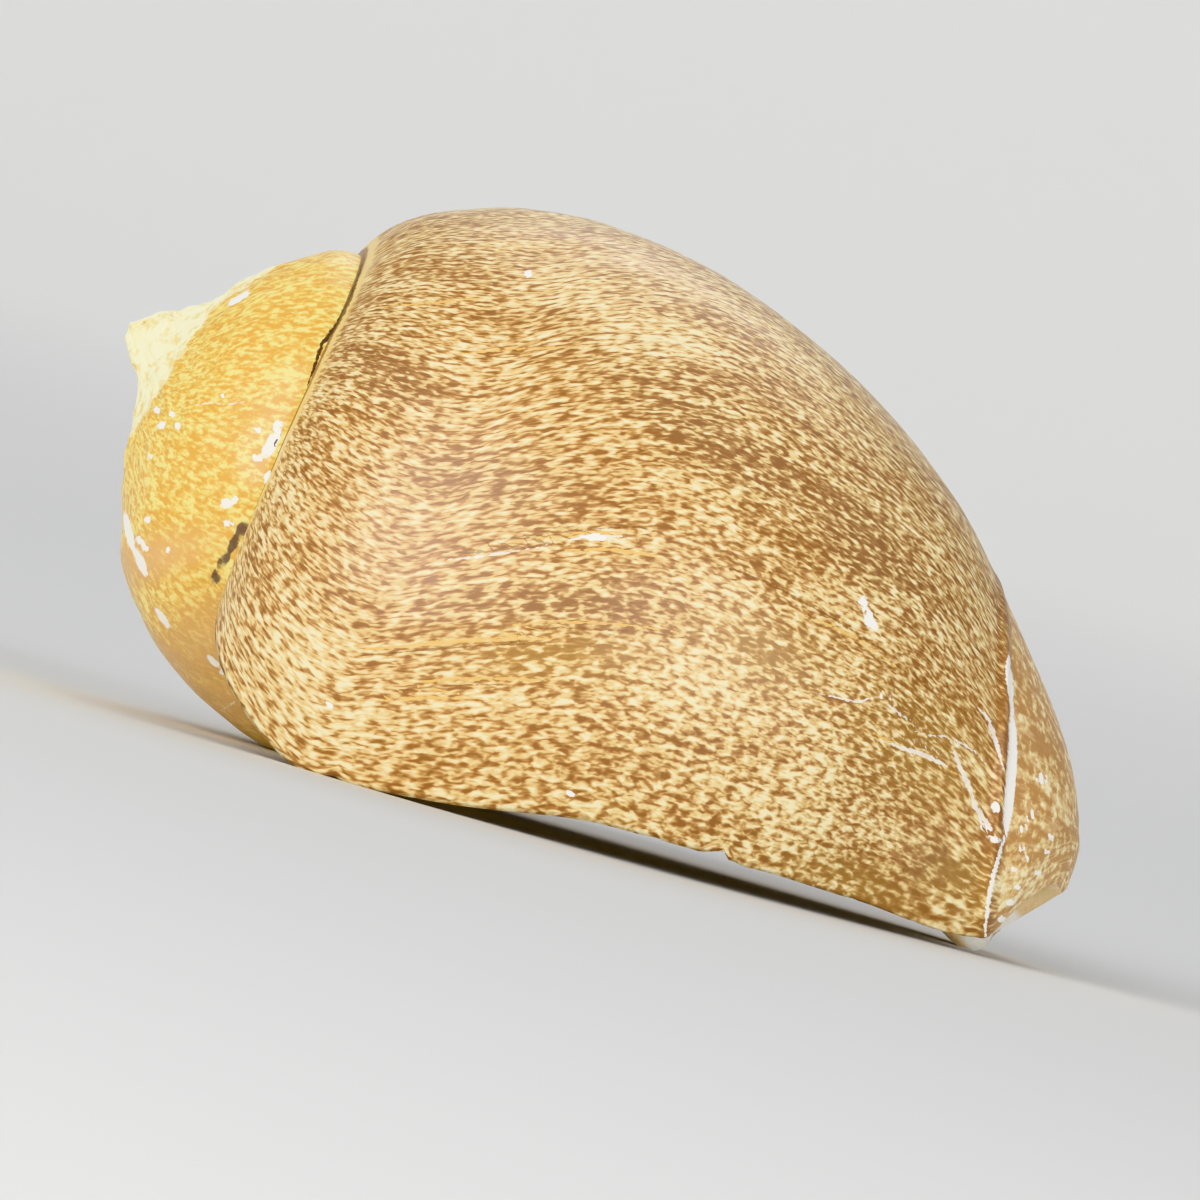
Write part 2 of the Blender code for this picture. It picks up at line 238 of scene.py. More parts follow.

# Spots seen in the photograph, in its pixels: x, y, half its length and its width, degrees down. The
# white ones are white spots and painted highlights.
WHITE_SPOTS_AND_HIGHLIGHTS = (
    # the first three spots here are painted highlights, the fourth a white spot
    (597, 538, 20, 4.5, 2), (867, 621, 13, 6, 60), (860, 601, 8, 5, 50), (528, 276, 6, 5, 0),
    (333, 703, 4, 3.5, 0), (571, 790, 5, 2.5, 10), (880, 694, 5, 4, 0),
    (274, 446, 19, 7, -60), (259, 459, 6, 4, 20), (260, 431, 5, 4, 0), (281, 426, 7, 5, -50),
    (269, 478, 9, 4, -65), (230, 504, 9, 6, -20), (231, 524, 8, 4, 0), (238, 500, 6, 4, 0),
    (159, 411, 4, 4, 0), (163, 426, 6, 4, -20), (174, 415, 4, 3.5, 0), (180, 427, 4, 4.5, 0),
    # painted highlights along the callus's left edge: the four spots here and the first on the next
    # line
    (130, 532, 24, 4.5, 76), (142, 562, 17, 5, 66), (164, 618, 13, 4, 55), (215, 661, 9, 3.5, 45),
    (226, 671, 6, 4, 0), (141, 540, 5, 4, 45), (147, 548, 5, 4, 45), (150, 520, 5, 4, 0),
    (240, 300, 15, 4, -32), (225, 397, 3, 2.5, 0), (152, 457, 4, 3, 0), (172, 551, 5, 4, 0),
    (1020, 828, 8, 4, -30), (1030, 814, 9, 4, -40), (1019, 847, 4, 4, 0), (1012, 868, 4, 3, 20),
    (1025, 858, 5, 3, -20), (1036, 872, 4, 3, 0), (1008, 901, 5, 4, 0), (1000, 918, 5, 4, 0),
    (1049, 836, 5, 3, 70), (1045, 851, 4, 3, 0), (1032, 899, 4, 3, 0), (1015, 886, 4, 3, 0),
    (992, 838, 9, 3, 15), (983, 826, 9, 3, 15), (993, 806, 6, 5, 60), (1040, 778, 7, 7, 0),
)
DARK_SPOTS = ((245, 529, 10, 6, -60), (236, 545, 14, 5, -60), (227, 560, 12, 5, -60),
              (218, 577, 9, 5, -70))

# Broad changes of tone, in the photograph's pixels: x, y, reach along and across, degrees down
CREAM_TONE = ((300, 690, 130, 110, 45), (610, 850, 260, 60, 10), (620, 330, 150, 50, 20),
              (800, 800, 120, 60, 20), (690, 690, 120, 60, 15), (1010, 890, 70, 50, -40))
BROWN_TONE = ((720, 440, 230, 70, 35), (395, 380, 60, 100, -60), (560, 600, 190, 45, 0),
              (860, 540, 170, 70, 52), (930, 860, 60, 50, 30), (1032, 740, 30, 60, 75),
              (480, 480, 160, 50, 8))
OLIVE_TONE = ((915, 745, 110, 80, 30), (960, 880, 70, 60, 30), (760, 650, 120, 60, 20),
              (560, 655, 190, 40, 0), (850, 880, 120, 40, 20), (1050, 850, 40, 60, 80))
ORANGE_TONE = ((205, 650, 90, 110, 50), (150, 560, 40, 120, 75), (230, 700, 90, 50, 40))

# The families of lines, by the name under which the mesh hands them on
LINES = {"white_line": WHITE_LINES, "crest_line": CREST_LINES, "dark_line": DARK_LINES,
         "gold_line": GOLD_LINES, "painted_shade_line": PAINTED_SHADE_LINES}
# The other numbers that the mesh hands to the materials, by attribute
HANDED_ON = {
    "girth": ("girth",),
    "growth": ("across", "run", "off_ridge"),
    "inward": ("inward",),
    "orange_tone": ("orange",),
    "own_place": ("along", "sideways", "up"),
    "spots": ("white_spots", "dark_spots"),
    "tones": ("cream_tone", "brown_tone", "olive_tone"),
}

# Patterns of each surface: the coordinates that they follow, their cycles for each millimetre of
# them, and the noise's detail, roughness and distortion. Growth coordinates run across and along
# the growth lines, and are true to size where the whorl is widest. There flecks are 0.2 mm wide and
# 0.6 mm long, and the narrow ones are for the smaller whorls. Real growth threads, about 0.05 mm apart,
# are too fine to show, and are drawn 0.28 mm apart. The old notches' lines are 0.7 mm apart, patches
# 2 by 5 mm, speckles 0.45 mm, and the grain that breaks up edges 0.2 by 0.3 mm.
BODY_PATTERNS = {
    "flecks": ("growth", (5.0, 1.6, 0.0), 1.5, 0.6, 0.3),
    "narrow_flecks": ("growth", (3.1, 1.2, 0.0), 1.5, 0.6, 0.3),
    "threads": ("growth", (3.6, 0.14, 0.0), 2.0, 0.5, 0.0),
    "patches": ("growth", (0.5, 0.2, 0.0), 3.0, 0.5, 0.0),
    "grain": ("growth", (4.5, 3.0, 0.0), 1.0, 0.5, 0.0),
    "old_notches": ("growth", (1.5, 0.4, 0.0), 2.5, 0.5, 0.4),
    "speckles": ("own_place", (2.2, 2.2, 2.2), 2.0, 0.6, 0.0),
}
# The callus's mottles are 0.2 mm wide and 0.4 mm down the cone, its streaks 0.3 by 3 mm, its clouds
# 3 mm, and the chalk's crumbs 0.7 mm. Its grain is too fine to show, and is drawn 0.25 mm wide.
CALLUS_PATTERNS = {
    "mottle": ("cone_place", (4.8, 4.8, 2.4), 2.5, 0.6, 0.3),
    "streaks": ("cone_place", (3.0, 3.0, 0.35), 2.0, 0.5, 0.0),
    "clouds": ("own_place", (0.35, 0.35, 0.35), 2.0, 0.5, 0.0),
    "grain": ("own_place", (4.0, 4.0, 4.0), 2.0, 0.5, 0.0),
    "crumb": ("own_place", (1.4, 1.4, 1.4), 4.0, 0.65, 0.0),
}
# Enamel has clouds of about 3 mm. Its grain is too fine to show, and is drawn 0.4 mm wide.
ENAMEL_PATTERNS = {
    "clouds": ("own_place", (0.3, 0.3, 0.3), 3.0, 0.5, 0.0),
    "grain": ("own_place", (2.5, 2.5, 2.5), 2.0, 0.5, 0.0),
}
CALLUS_GIRTH = 7.0  # the radius at which the callus's coordinates are true to size
CALLUS_LEAN = 0.405  # how far its streaks are drawn back as they leave the apex

# Masks: the two edges between which each goes softly from 0 to 1, and the parts that it adds up,
# each with its weight. Girth is a share of the largest. In millimetres, off_ridge is past the
# ridge's crest, run from the suture, along from the apex and inward from the mouth's edge. The zones
# are worked out first, because other parts depend on them.
BODY_ZONES = {
    "full_size": (0.45, 0.75, {"girth": 1.0}),
    "band": (0.3, 1.1, {"off_ridge": 1.0}),
    "foot": (-1.4, -0.6, {"off_ridge": 1.0}),
    "rough": (0.3, 0.7, {"grain": 1.0}),
}
BODY_PALENESS = {"flecks": 1.0, "lines": 0.35, "patches": 0.25, "cream_tone": 0.08,
                 "brown_tone": -0.05, "olive_tone": -0.03, "foot": -0.09, "band": 0.08}
BODY_MASKS = {
    "tan": (0.62, 0.79, {"paleness": 1.0}),
    "cream": (0.74, 0.88, {"paleness": 1.0}),
    "bright": (0.85, 1.00, {"paleness": 1.0}),
    "streak": (0.90, 1.00, {"old_notches": 1.0, "band": 0.4}),
    "suture": (1.95, 1.5, {"run": 1.0, "grain": 0.9}),
    "groove": (0.80, 0.60, {"run": 1.0, "grain": 0.3}),
    "spot": (0.50, 0.72, {"white_spots": 1.0, "grain": 1.0}),
    "stain": (0.3, 0.8, {"dark_spots": 1.0, "grain": 0.8}),
}
CALLUS_PALENESS = {"mottle": 1.35, "streaks": 0.15, "clouds": 0.2, "orange": -0.12}
CALLUS_MASKS = {
    "light": (0.83, 0.99, {"paleness": 1.0}),
    "deep": (0.86, 0.71, {"paleness": 1.0}),
    "chalk": (3.46, 3.36, {"along": 1.0, "raised": -0.42, "crumb": 1.0}),
    "pale_crumb": (0.36, 0.52, {"crumb": 1.0}),
    "rough": (0.3, 0.7, {"grain": 1.0}),
    "spot": (0.3, 0.5, {"white_spots": 1.0, "grain": 0.6}),
    "stain": (0.35, 0.75, {"dark_spots": 1.0, "crumb": 1.0}),
    "tip": (2.1, 1.5, {"tip_distance": 1.0, "grain": 0.5}),
}
CHALK_HIGH = 3.2  # the height above the axis past which the chalk reaches further
ENAMEL_MASKS = {
    "pale": (0.9, 2.6, {"inward": 1.0, "clouds": 1.2}),
    "deep": (6.0, 30.0, {"inward": 1.0, "clouds": 1.2}),
    "front": (-0.5, 0.5, {"off_ridge": 1.0}),
    "tip": (2.1, 1.5, {"tip_distance": 1.0, "grain": 0.5}),
}
# How far a place counts as off a line: raggedness adds up to 0.08 mm, and the line's width takes
# half of its half-width back
LINE_MIX = {"distance": 1.0, "rough": 0.08, "half": -0.5}
LINE_CORE = 0.5  # the share of the half-width that is fully covered

# Colours of the shell, as sRGB
BROWN = "#946430"
BROWN_DEEP = "#85561f"
# white of wear, also used for painted highlights
WEAR_AND_HIGHLIGHT_WHITE = "#fffcf2"
CRACK = "#5c3f22"
STAIN = "#5e443c"
CALLUS = "#f3cb62"
CHALK = "#fffad2"
CHALK_OCHRE = "#f1dc94"
LIP_BROWN = "#b98a62"
# What is laid over the ground colour, in order: mask, colour or part, how strongly it covers
BODY_PAINT = (
    ("tan", "#b98b50", 1.0),
    ("brown_tone", "#96714f", 0.4),
    ("olive_tone", "#b28c45", 0.5),
    ("band", "#d0a063", 0.7),
    ("streak", "#e6c08c", 0.6),
    ("cream", "#ecd190", 0.85),
    ("bright", "#fcf3ca", 0.8),
    ("gold_line", "#f0c66c", 0.85),
    ("suture", "#f2d894", 0.85),
    ("groove", BROWN_DEEP, 0.8),
    ("stain", STAIN, 0.9),
    # painted shade beside the growth checks
    ("painted_shade_line", BROWN_DEEP, 0.7),
    # white of the crest, lines and spots: wear and scratches, with painted highlights among them
    ("crest_line", WEAR_AND_HIGHLIGHT_WHITE, 1.0),
    ("white_line", WEAR_AND_HIGHLIGHT_WHITE, 0.7),
    ("spot", WEAR_AND_HIGHLIGHT_WHITE, 1.0),
    ("dark_line", CRACK, 1.0),
)
CALLUS_PAINT = (
    ("deep", "#e0ab4c", 1.0),
    ("light", "#fdec90", 1.0),
    ("orange", "#e9bd80", 0.7),
    ("stain", STAIN, 0.9),
    ("chalk", "chalk_colour", 1.0),
    ("tip", WEAR_AND_HIGHLIGHT_WHITE, 1.0),
    # white lines and spots, with painted highlights along the callus's left edge among the spots
    ("white_line", WEAR_AND_HIGHLIGHT_WHITE, 0.7),
    ("spot", WEAR_AND_HIGHLIGHT_WHITE, 1.0),
    ("dark_line", CRACK, 1.0),
)
ENAMEL_PAINT = (
    ("front", "#f0d3a0", 1.0),
    ("pale", "#f3e4c6", 1.0),
    ("deep", "#e3c9a0", 0.5),
    ("tip", WEAR_AND_HIGHLIGHT_WHITE, 1.0),
)

# Relief too fine for the mesh: what raises it and what lowers it
BODY_RELIEF = {"lines": 1.0, "dark_line": -3.0, "white_line": -0.6, "crest_line": 0.6}
CALLUS_RELIEF = {"mottle": 0.6, "chalk": 0.5, "crumb": 0.8, "dark_line": -3.0, "spot": -0.5}
ENAMEL_RELIEF = {"grain": 1.0}
# Its strength, and the height of 1 in millimetres
BODY_BUMP = (0.6, 0.03)
CALLUS_BUMP = (0.6, 0.05)
ENAMEL_BUMP = (0.3, 0.03)

# How the surfaces take the light. Shell is aragonite. What dulls a surface adds to its roughness,
# and a worn crest is smoother.
SHELL_IOR = 1.53
BODY_ROUGHNESS = 0.42
BODY_DULLING = {"cream": 0.06, "crest_line": -0.1}
CALLUS_ROUGHNESS = 0.36
CALLUS_DULLING = {"chalk": 0.39}
ENAMEL_ROUGHNESS = 0.25
ENAMEL_DULLING = {"grain": 0.05}
# Clear gloss over them: weight, roughness, IOR
VARNISH = (0.2, 0.18, 1.5)
GLAZE = (0.1, 0.14, 1.5)

PAPER = "#dcdcd8"
PAPER_ROUGHNESS = 0.9
AIR = "#f2f4ff"

# The studio, in metres: name, place, aim, size and watts of each lamp
MIDDLE = (0.0, 0.0, 0.012)  # of the shell
LAMPS = (
    ("key_softbox", (-0.60, -0.85, 0.50), MIDDLE, 1.1, 8.5),
    ("fill_softbox", (0.70, -0.95, 0.25), MIDDLE, 1.0, 8.0),
    ("low_softbox", (-0.70, -0.75, 0.10), MIDDLE, 0.7, 4.0),
    ("top_softbox", (0.10, 0.50, 0.90), MIDDLE, 0.9, 2.0),
    ("backdrop_softbox", (0.0, 1.50, 1.10), (0.0, 1.9, 0.0), 1.2, 9.0),
)
AIR_STRENGTH = 0.38
SWEEP_DEPTH = 2.5  # from the shell to the paper's near edge
SWEEP_BACK = 1.6  # from the shell to where it starts to curve up
SWEEP_RADIUS = 0.8
SWEEP_HEIGHT = 2.5
SWEEP_HALF_WIDTH = 3.0
SWEEP_STEPS = 24  # points on the curve

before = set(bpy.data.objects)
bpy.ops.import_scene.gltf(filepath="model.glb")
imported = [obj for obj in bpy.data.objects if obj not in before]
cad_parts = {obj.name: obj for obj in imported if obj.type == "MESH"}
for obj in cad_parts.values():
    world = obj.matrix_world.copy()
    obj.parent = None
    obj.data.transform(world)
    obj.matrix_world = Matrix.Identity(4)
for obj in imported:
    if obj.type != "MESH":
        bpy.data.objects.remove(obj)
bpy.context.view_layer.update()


def ease(low, high, value):
    """0 before low and 1 past high, with a smooth step between. low may be above high."""
    share = np.clip((np.asarray(value, float) - low) / (high - low), 0.0, 1.0)
    return share * share * (3.0 - 2.0 * share)


def through(points, count_between=24):
    """A dense smooth line through the given points, by Catmull-Rom."""
    p = np.array(points, float)
    p = np.vstack([2 * p[0] - p[1], p, 2 * p[-1] - p[-2]])
    s = np.linspace(0.0, 1.0, count_between, endpoint=False)[:, None]
    line = []
    for a, b, c, d in zip(p, p[1:], p[2:], p[3:]):
        bend = 2 * a - 5 * b + 4 * c - d
        twist = 3 * b - a - 3 * c + d
        line.append(b + 0.5 * ((c - a) * s + bend * s**2 + twist * s**3))
    return np.vstack(line + [p[-2:-1]])


def run_along(line):
    """The length run along a line at each of its points."""
    steps = np.linalg.norm(np.diff(line, axis=0), axis=1)
    return np.concatenate([[0.0], np.cumsum(steps)])


BACK_LINE = through(BACK)
BELLY_LINE = through(BELLY)
BACK_RUN = run_along(BACK_LINE)
SUTURE_RUN = float(np.interp(NEXT_SUTURE, BACK_LINE[:, 0], BACK_RUN))
LIP_LINE = through(LIP_EDGE)
COLUMELLA_LINE = through(COLUMELLA_EDGE)
RIDGE_LINE = through(RIDGE_PATH)
LEAN_LINE = through(LINE_LEAN)
GIRTH = float(BACK_LINE[:, 1].max())
TURN_LENGTH = 2.0 * math.pi * GIRTH  # one turn of growth, where the whorl is widest


def on_line(run, line):
    """Axial place and radius on one of the two sections, at a length run along the back's."""
    return np.interp(run, BACK_RUN, line[:, 0]), np.interp(run, BACK_RUN, line[:, 1])


def growth(turn, hold):
    return WHORL_RATIO ** (turn * (1.0 - hold))


def scroll_angle(turn):
    return np.radians(LIP_ANGLE - 360.0 * turn)


def section(turn, run):
    """Axial place and radius of the bare scroll at a turn."""
    back_z, back_r = on_line(run, BACK_LINE)
    belly_z, belly_r = on_line(run, BELLY_LINE)
    below = 0.5 + 0.5 * np.cos(scroll_angle(turn))
    hold = ease(*HOLD_EASE, back_z)
    back_size = growth(turn - BACK_TURN, hold)
    belly_size = growth(turn - BELLY_TURN, hold)
    belly = ease(*BELLY_EASE, turn)
    back_end = FRONT_DROP * below * ease(*FRONT_EASE, back_z)
    z = (back_z * back_size - back_end) * (1.0 - belly) + belly_z * belly_size * belly
    r = back_r * back_size * (1.0 - belly) + belly_r * belly_size * belly
    # the first whorl rises from the apex, and the callus makes one cone of the early whorls
    z = z * np.clip(turn + SPIRE_TURNS, 0.0, 1.0)
    wear_z, wear_r = np.array(APEX_WEAR).T
    cone = np.where(z < wear_z[-1], np.interp(z, wear_z, wear_r), SPIRE_SLOPE * z)
    hidden = 1.0 - ease(*OPEN_EASE, turn)
    return z, r + (cone - r) * hidden


def ridge_run(turn):
    """Where the ridge runs, as a length along the back's section, at a growth turn."""
    place = np.interp(turn, RIDGE_LINE[:, 0], RIDGE_LINE[:, 1])
    return np.interp(place, BACK_LINE[:, 0], BACK_RUN)


def lip_lean(run):
    return np.interp(on_line(run, BACK_LINE)[0], LIP_LINE[:, 0], LIP_LINE[:, 1])


def lean(turn, run):
    """The scroll's turn on a column of the skin, which leans back as the mouth's edges do."""
    place = on_line(run, BACK_LINE)[0]
    columella = np.interp(place, COLUMELLA_LINE[:, 0], COLUMELLA_LINE[:, 1])
    share = np.clip(-turn, 0.0, 1.0)
    return turn - ((1.0 - share) * lip_lean(run) + share * columella) / 360.0


def line_turn(turn, run):
    """The growth turn by the lines drawn on the shell, which lean back further with age."""
    back = np.maximum(-360.0 * lean(turn, run) - lip_lean(run), 0.0)
    further = np.interp(on_line(run, BACK_LINE)[0], LEAN_LINE[:, 0], LEAN_LINE[:, 1])
    swept = BAND_SWEEP * np.maximum(run - ridge_run(turn) - BAND_START, 0.0)
    return -(back - further * (1.0 - np.exp(-back / LINE_EASE)) - swept) / 360.0


def lip_flaw(run):
    """How far the lip's edge is broken back at a run, in millimetres."""
    depth = np.zeros_like(run)
    for middle, deep, before, after in LIP_FLAWS:
        off = run - middle
        depth = depth + deep * ease(1.0, 0.0, np.where(off < 0.0, -off / before, off / after))
    return depth


def skin(turn, run, flaw=0.0):
    """Points of the skin, at growth turns and runs. A flaw shifts them back, in turns."""
    scroll = lean(turn, run) - flaw
    z, r = section(scroll, run)
    off_crest = (run - ridge_run(turn)) / RIDGE_REACH
    r = r + RIDGE_HEIGHT * ease(1.0, 0.0, np.abs(off_crest)) * ease(*RIDGE_EASE, turn)
    angle = scroll_angle(scroll)
    up = APEX_LEAN * ease(*APEX_LEAN_EASE, z)
    return np.stack(np.broadcast_arrays(z, -r * np.sin(angle), up - r * np.cos(angle)), -1)


def skin_normal(turn, run):
    """The way out of the shell at points of the skin."""
    along = skin(turn, run + NORMAL_STEP) - skin(turn, run - NORMAL_STEP)
    onward = skin(turn + NORMAL_STEP, run) - skin(turn - NORMAL_STEP, run)
    out = np.cross(onward, along)
    length = np.linalg.norm(out, axis=-1)[..., None]
    return out / np.maximum(length, TINY)


def body_shares():
    """The body's rows as shares of its run, closer together by the lip's notch."""
    share = np.linspace(0.0, 1.0, SHARE_STEPS)
    near = (share - NOTCH_PLACE) / NOTCH_SPREAD
    density = 1.0 + NOTCH_CROWD * np.exp(-near**2)
    count = np.concatenate([[0.0], np.cumsum(density[1:])])
    return np.interp(np.linspace(0.0, 1.0, BODY_ROWS + 1), count / count[-1], share)


def row_runs(turns):
    """The rows' runs for a column of growth turns: suture, next suture, ridge, front end."""
    crest = ridge_run(turns)
    near = np.clip(1.0 - np.abs(turns + 1.0) / DROP_TURNS, 0.0, 1.0)
    suture = SUTURE_RUN + SUTURE_DROP * near**2
    spire = suture * np.linspace(0.0, 1.0, SPIRE_ROWS + 1)
    body = suture + (crest - RIDGE_REACH - suture) * body_shares()[1:]
    ridge = crest + RIDGE_REACH * np.linspace(-1.0, 1.0, RIDGE_ROWS + 2)[1:-1]
    left = np.linspace(1.0, 0.0, BAND_ROWS + 1) ** FRONT_CROWD
    band = BACK_RUN[-1] - (BACK_RUN[-1] - crest - RIDGE_REACH) * left
    return np.hstack([spire, body, ridge, band])


def ripple(x, y):
    """Smooth random waves about one unit long in x and y, between -1 and 1."""
    size = len(RANDOM_TABLE)
    i, j = np.floor(x).astype(int), np.floor(y).astype(int)
    s, t = ease(0.0, 1.0, x - i), ease(0.0, 1.0, y - j)
    i, i_next, j, j_next = i % size, (i + 1) % size, j % size, (j + 1) % size
    low = RANDOM_TABLE[i, j] * (1.0 - s) + RANDOM_TABLE[i_next, j] * s
    high = RANDOM_TABLE[i, j_next] * (1.0 - s) + RANDOM_TABLE[i_next, j_next] * s
    return low * (1.0 - t) + high * t


def relief(turns, runs, points):
    """How far the skin stands out for its growth lines and its callus, in millimetres."""
    scroll = lean(turns, runs)
    across = line_turn(turns, runs) * TURN_LENGTH
    body = ease(*BODY_EASE, turns) * ease(*EDGE_EASE, runs)
    height = np.zeros(points.shape[:-1])
    for length, high in SWELLS:
        height = height + body * high * ripple(across / length, runs / SWELL_BEND + length)
    callus = ease(*CALLUS_EASE, turns)
    wave, high = CALLUS_WAVE
    height = height + callus * high * ripple(across / wave, runs / wave)
    for value, (middle, reach) in ((scroll, CALLUS_SWELL_TURN), (points[..., 0], CALLUS_SWELL_PLACE)):
        callus = callus * ease(reach, 0.0, np.abs(value - middle))
    return height + callus * CALLUS_SWELL


def apex_bumps(points):
    """The chalky apex is bumpy all over."""
    height = np.zeros(len(points))
    for i in np.flatnonzero(points[:, 0] < APEX_BUMP_EASE[0]):
        fade = ease(*APEX_BUMP_EASE, points[i, 0])
        for size, high in APEX_BUMPS:
            height[i] += fade * high * noise.noise(Vector(points[i]) / size)
    return height


def turned(across, up, degrees):
    """Two coordinates turned, so that what stands up leans towards the first one."""
    angle = math.radians(degrees)
    c, s = math.cos(angle), math.sin(angle)
    return across * c + up * s, up * c - across * s


def laid(points):
    """Directions or points of the shell's own frame, turned as the shell lies."""
    x, y, z = np.moveaxis(np.asarray(points, float), -1, 0)
    x, z = turned(x, z, REST_TILT)
    y, z = turned(y, z, REST_ROLL)
    return np.stack([x, y, z], -1)


def carried_back(outline, turn):
    """The mouth's outline carried back along the scroll."""
    x, y, z = (outline * WHORL_RATIO**turn).T
    y, z = turned(y, z, -360.0 * turn)
    return np.stack([x, y, z], -1)


def softened(outline):
    for _ in range(CORNER_PASSES):
        outline = (np.roll(outline, 1, 0) + 2.0 * outline + np.roll(outline, -1, 0)) / 4.0
    return outline


def rounded(outline):
    """A closed outline with its corners, at the suture and at the tip, drawn in."""
    corners = (outline[0], TIP)
    near = np.min([np.linalg.norm(outline - corner, axis=1) for corner in corners], axis=0)
    return outline + (softened(outline) - outline) * ease(CORNER_REACH, 0.0, near)[:, None]


def photo_pixels(own):
    """Where the photograph shows points of the shell's own frame, in its pixels."""
    dip = math.radians(AXIS_DIP)
    along, up = own[:, 0] / PIXEL_SIZE, own[:, 2] / PIXEL_SIZE
    right = APEX_PIXEL[0] + along * math.cos(dip) + up * math.sin(dip)
    down = APEX_PIXEL[1] + along * math.sin(dip) - up * math.cos(dip)
    return np.stack([right, down], -1)


def cone_place(own):
    """Places on the callus's cone: round it, drawn back along its streaks, and down its slope."""
    slope = np.maximum(np.linalg.norm(own, axis=1), 1.0)
    angle = np.arctan2(-own[:, 1], -own[:, 2]) - CALLUS_LEAN * np.log(slope)
    return np.stack([CALLUS_GIRTH * np.cos(angle), CALLUS_GIRTH * np.sin(angle), slope], -1)


def line_field(pixels, lines):
    """Signed distance to the nearest line and its half-width there, tapering to its ends."""
    nearest = np.full(len(pixels), np.inf)
    signed, half = np.zeros(len(pixels)), np.zeros(len(pixels))
    for width, points in lines:
        points = np.array(points, float)
        runs = run_along(points)
        for start, end, a, b in zip(runs, runs[1:], points, points[1:]):
            ab = b - a
            share = np.clip((pixels - a) @ ab / (ab @ ab), 0.0, 1.0)
            away = pixels - a - share[:, None] * ab
            distance = np.linalg.norm(away, axis=1)
            closer = distance < nearest
            nearest = np.where(closer, distance, nearest)
            side = np.sign(ab[0] * away[:, 1] - ab[1] * away[:, 0])
            signed = np.where(closer, side * distance, signed)
            run = (start + share * (end - start)) / runs[-1]
            taper = np.sqrt(np.sin(np.pi * run))
            half = np.where(closer, width / 2 * taper, half)
    reach = np.maximum(LINE_SPAN * half, LINE_REACH)
    half = half * ease(LINE_FADE, 0.0, nearest - reach)
    return np.stack([signed, half, np.zeros_like(half)], -1) * PIXEL_SIZE


def spot_field(pixels, spots):
    """1 in the middle of each spot, 0 at its edge and negative beyond."""
    field = np.full(len(pixels), -1.0)
    for x, y, reach, half, degrees in spots:
        off = pixels - (x, y)
        down = math.radians(degrees)
        along = off @ (math.cos(down), math.sin(down)) / reach
        across = off @ (-math.sin(down), math.cos(down)) / half
        field = np.maximum(field, 1.0 - np.hypot(along, across))
    return field


def tone_field(pixels, spots):
    """1 in the middle of each broad spot, falling softly to 0 at its edge."""
    return ease(0.0, 1.0, spot_field(pixels, spots))


class Skin:
    """Points with their growth coordinates, and faces between them."""

    def __init__(self):
        self.points = []
        self.same_as = []
        self.growth = []
        self.inward = []
        self.faces = []
        self.kinds = []
        self.kind = BODY

    def add(self, point, grown, inward=0.0, same_as=None):
        """A point. One on a seam has its own coordinates, but shares another's place."""
        self.points.append(point)
        self.growth.append(grown)
        self.inward.append(inward)
        self.same_as.append(len(self.points) - 1 if same_as is None else self.same_as[same_as])
        return len(self.points) - 1

    def face(self, *corners):
        """A face, without the corners that fall together."""
        after = corners[1:] + corners[:1]
        kept = [c for c, d in zip(corners, after) if self.same_as[c] != self.same_as[d]]
        if len(kept) > 2:
            self.faces.append(kept)
            self.kinds.append(self.kind)

    def bridge(self, ring, inner):
        """Quads between two closed rings with the same count."""
        for i, j in zip(range(-1, len(ring) - 1), range(len(ring))):
            self.face(ring[i], inner[i], inner[j], ring[j])

    def zip_shut(self, ring):
        """Triangles across a long closed ring, between its outer and its inner side."""
        low, high = 0, len(ring) - 1
        while high - low > 1:
            a, b, c, d = (self.points[ring[i]] for i in (low, low + 1, high - 1, high))
            if np.linalg.norm(b - d) < np.linalg.norm(a - c):
                self.face(ring[low], ring[high], ring[low + 1])
                low += 1
            else:
                self.face(ring[low], ring[high], ring[high - 1])
                high -= 1


def skin_grid():
    """The skin's smooth and grown points, and their growth coordinates, by column and row."""
    turns = (np.arange(-SPIRE_TURNS * COLUMNS, 1) / COLUMNS)[:, None]
    runs = row_runs(turns)
    smooth = skin(turns, runs)
    near_lip = ease(-LIP_FLAW_TURNS, 0.0, turns)
    grown = skin(turns, runs, near_lip * lip_flaw(runs) / TURN_LENGTH)
    grown += relief(turns, runs, smooth)[..., None] * skin_normal(turns, runs)
    # the first row is the suture: it lies on the whorl before, and its neighbours follow
    fade = ease(WELD_SHARE * SUTURE_RUN, 0.0, runs)[..., None]
    for points in (smooth, grown):
        points[:COLUMNS] += fade[:COLUMNS] * ((0.0, 0.0, APEX_LEAN) - points[:COLUMNS, :1])
        gap = points[:-COLUMNS, SPIRE_ROWS] - points[COLUMNS:, 0]
        points[COLUMNS:] += fade[COLUMNS:] * gap[:, None]
    across = line_turn(turns, runs) * TURN_LENGTH
    off_ridge = runs - ridge_run(turns)
    return smooth, grown, np.stack([across, runs, off_ridge], -1)


